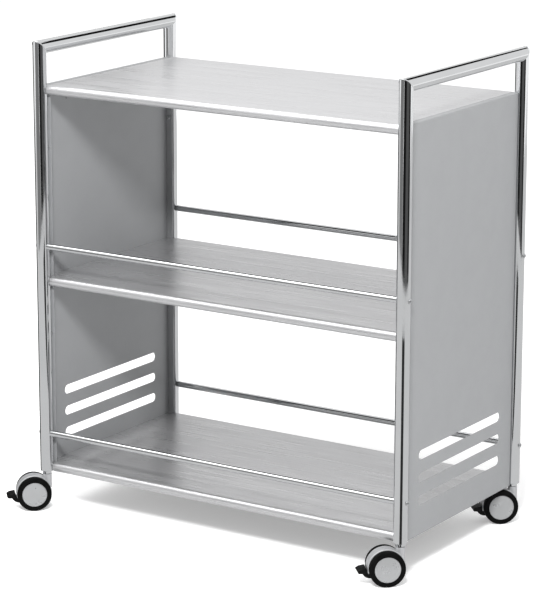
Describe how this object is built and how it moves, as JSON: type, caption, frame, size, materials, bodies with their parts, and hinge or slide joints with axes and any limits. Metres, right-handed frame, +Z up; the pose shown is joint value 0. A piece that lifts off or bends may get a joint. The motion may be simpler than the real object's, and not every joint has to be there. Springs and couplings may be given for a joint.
{
  "type": "bar cart",
  "caption": "Bar cart with open shelves between sheet side panels, chrome tube end frames with handle bars, shelf rails and braked swivel casters.",
  "frame": {"origin": "on the floor, under the middle of the whole cart's bounding box as it stands with its casters turned 42 degrees; the middle of the four posts is 23.1 mm right and 20.1 mm back of it", "axes": "+X to the right along the shelves, +Y to the back, +Z up"},
  "size_m": [0.8576, 0.496, 0.8905],
  "materials": {
    "chrome": "bright chrome plate",
    "panel_silver": "satin silver-grey lacquer",
    "shelf_steel": "brushed along the shelf's length",
    "angle_steel": "satin silver-grey lacquer",
    "board": "dark grey melamine-faced particle board",
    "screw_steel": "bright zinc plate",
    "socket_steel": "bright plate",
    "pin_steel": "turned steel, lightly oiled",
    "silver_plastic": "satin silver moulding",
    "cover_plastic": "satin silver moulding",
    "black_plastic": "satin black moulding",
    "tyre": "soft black tread"
  },
  "bodies": {
    "cart": {"left_front_post": "chrome", "left_back_post": "chrome", "left_handle_bar": "chrome", "left_side_panel": "panel_silver", "left_shelf_angles": "angle_steel", "right_front_post": "chrome", "right_back_post": "chrome", "right_handle_bar": "chrome", "right_side_panel": "panel_silver", "right_shelf_angles": "angle_steel", "bottom_shelf_skin": "shelf_steel", "bottom_shelf_board": "board", "middle_shelf_skin": "shelf_steel", "middle_shelf_board": "board", "top_shelf_skin": "shelf_steel", "top_shelf_board": "board", "middle_front_rail": "chrome", "middle_back_rail": "chrome", "bottom_front_rail": "chrome", "bottom_back_rail": "chrome", "rail_screws": "screw_steel", "rail_end_plugs": "screw_steel", "panel_screws": "screw_steel", "shelf_screws": "screw_steel", "caster_sockets": "socket_steel", "left_front_caster_stem": "pin_steel", "left_back_caster_stem": "pin_steel", "right_front_caster_stem": "pin_steel", "right_back_caster_stem": "pin_steel"},
    "left_front_caster": {"left_front_caster_hood": "silver_plastic", "left_front_axle": "pin_steel"},
    "left_front_lever": {"left_front_brake_lever": "black_plastic"},
    "left_front_inner_wheel_set": {"left_front_inner_tyre": "tyre", "left_front_inner_wheel": "cover_plastic"},
    "left_front_outer_wheel_set": {"left_front_outer_tyre": "tyre", "left_front_outer_wheel": "cover_plastic"},
    "left_back_caster": {"left_back_caster_hood": "silver_plastic", "left_back_axle": "pin_steel"},
    "left_back_lever": {"left_back_brake_lever": "black_plastic"},
    "left_back_inner_wheel_set": {"left_back_inner_tyre": "tyre", "left_back_inner_wheel": "cover_plastic"},
    "left_back_outer_wheel_set": {"left_back_outer_tyre": "tyre", "left_back_outer_wheel": "cover_plastic"},
    "right_front_caster": {"right_front_caster_hood": "silver_plastic", "right_front_axle": "pin_steel"},
    "right_front_lever": {"right_front_brake_lever": "black_plastic"},
    "right_front_inner_wheel_set": {"right_front_inner_tyre": "tyre", "right_front_inner_wheel": "cover_plastic"},
    "right_front_outer_wheel_set": {"right_front_outer_tyre": "tyre", "right_front_outer_wheel": "cover_plastic"},
    "right_back_caster": {"right_back_caster_hood": "silver_plastic", "right_back_axle": "pin_steel"},
    "right_back_lever": {"right_back_brake_lever": "black_plastic"},
    "right_back_inner_wheel_set": {"right_back_inner_tyre": "tyre", "right_back_inner_wheel": "cover_plastic"},
    "right_back_outer_wheel_set": {"right_back_outer_tyre": "tyre", "right_back_outer_wheel": "cover_plastic"}
  },
  "joints": [
    {"name": "left_front_swivel", "type": "hinge", "parent": "cart", "child": "left_front_caster", "pos_m": [-0.36287, -0.18691, 0.06], "axis": [0, 0, 1], "continuous": true},
    {"name": "left_front_inner_wheel_spin", "type": "hinge", "parent": "left_front_caster", "child": "left_front_inner_wheel_set", "pos_m": [-0.38219, -0.2043, 0.0325], "axis": [-0.6691, 0.7431, 0], "continuous": true},
    {"name": "left_front_outer_wheel_spin", "type": "hinge", "parent": "left_front_caster", "child": "left_front_outer_wheel_set", "pos_m": [-0.38219, -0.2043, 0.0325], "axis": [-0.6691, 0.7431, 0], "continuous": true},
    {"name": "left_front_brake", "type": "hinge", "parent": "left_front_caster", "child": "left_front_lever", "pos_m": [-0.3926, -0.21367, 0.0245], "axis": [0.6691, -0.7431, 0], "range_deg": [0, 15]},
    {"name": "left_back_swivel", "type": "hinge", "parent": "cart", "child": "left_back_caster", "pos_m": [-0.36287, 0.22709, 0.06], "axis": [0, 0, 1], "continuous": true},
    {"name": "left_back_inner_wheel_spin", "type": "hinge", "parent": "left_back_caster", "child": "left_back_inner_wheel_set", "pos_m": [-0.38219, 0.2097, 0.0325], "axis": [-0.6691, 0.7431, 0], "continuous": true},
    {"name": "left_back_outer_wheel_spin", "type": "hinge", "parent": "left_back_caster", "child": "left_back_outer_wheel_set", "pos_m": [-0.38219, 0.2097, 0.0325], "axis": [-0.6691, 0.7431, 0], "continuous": true},
    {"name": "left_back_brake", "type": "hinge", "parent": "left_back_caster", "child": "left_back_lever", "pos_m": [-0.3926, 0.20033, 0.0245], "axis": [0.6691, -0.7431, 0], "range_deg": [0, 15]},
    {"name": "right_front_swivel", "type": "hinge", "parent": "cart", "child": "right_front_caster", "pos_m": [0.40913, -0.18691, 0.06], "axis": [0, 0, 1], "continuous": true},
    {"name": "right_front_inner_wheel_spin", "type": "hinge", "parent": "right_front_caster", "child": "right_front_inner_wheel_set", "pos_m": [0.38981, -0.2043, 0.0325], "axis": [-0.6691, 0.7431, 0], "continuous": true},
    {"name": "right_front_outer_wheel_spin", "type": "hinge", "parent": "right_front_caster", "child": "right_front_outer_wheel_set", "pos_m": [0.38981, -0.2043, 0.0325], "axis": [-0.6691, 0.7431, 0], "continuous": true},
    {"name": "right_front_brake", "type": "hinge", "parent": "right_front_caster", "child": "right_front_lever", "pos_m": [0.3794, -0.21367, 0.0245], "axis": [0.6691, -0.7431, 0], "range_deg": [0, 15]},
    {"name": "right_back_swivel", "type": "hinge", "parent": "cart", "child": "right_back_caster", "pos_m": [0.40913, 0.22709, 0.06], "axis": [0, 0, 1], "continuous": true},
    {"name": "right_back_inner_wheel_spin", "type": "hinge", "parent": "right_back_caster", "child": "right_back_inner_wheel_set", "pos_m": [0.38981, 0.2097, 0.0325], "axis": [-0.6691, 0.7431, 0], "continuous": true},
    {"name": "right_back_outer_wheel_spin", "type": "hinge", "parent": "right_back_caster", "child": "right_back_outer_wheel_set", "pos_m": [0.38981, 0.2097, 0.0325], "axis": [-0.6691, 0.7431, 0], "continuous": true},
    {"name": "right_back_brake", "type": "hinge", "parent": "right_back_caster", "child": "right_back_lever", "pos_m": [0.3794, 0.20033, 0.0245], "axis": [0.6691, -0.7431, 0], "range_deg": [0, 15]}
  ]
}
